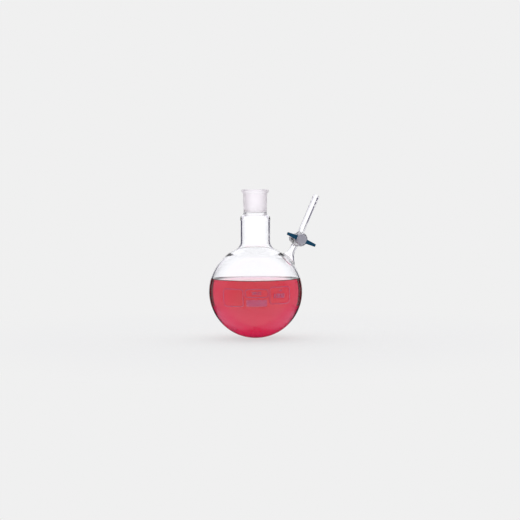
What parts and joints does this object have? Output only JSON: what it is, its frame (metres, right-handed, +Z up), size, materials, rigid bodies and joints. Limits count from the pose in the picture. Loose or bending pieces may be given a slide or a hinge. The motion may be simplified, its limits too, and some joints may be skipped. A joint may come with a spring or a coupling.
{
  "type": "schlenk flask",
  "caption": "Round-bottom glass flask with a ground socket and a side arm that carries a stopcock and a ridged hose end, partly filled with a red liquid.",
  "frame": {"origin": "lowest point of the bulb, on the axis of the neck", "axes": "+Z up the neck; the side arm leans towards +X in the XZ plane; the stopcock's key lies along Y with its handle at -Y"},
  "size_m": [0.1581, 0.131, 0.2085],
  "materials": {
    "clear_glass": "clear borosilicate glass, ground matt inside the socket",
    "red_liquid": "clear liquid, coloured through",
    "white_fluoropolymer": "turned, satin",
    "teal_plastic": "moulded, satin",
    "black_rubber": "moulded"
  },
  "bodies": {
    "flask": {"flask_body": "clear_glass", "liquid": "red_liquid"},
    "stopcock": {"stopcock_key": "white_fluoropolymer", "stopcock_handle": "teal_plastic", "key_washer": "white_fluoropolymer", "sealing_ring": "black_rubber", "key_nut": "white_fluoropolymer"}
  },
  "joints": [
    {"name": "key_turn", "type": "hinge", "parent": "flask", "child": "stopcock", "pos_m": [0.06148, 0, 0.13836], "axis": [0, 1, 0], "continuous": true}
  ]
}
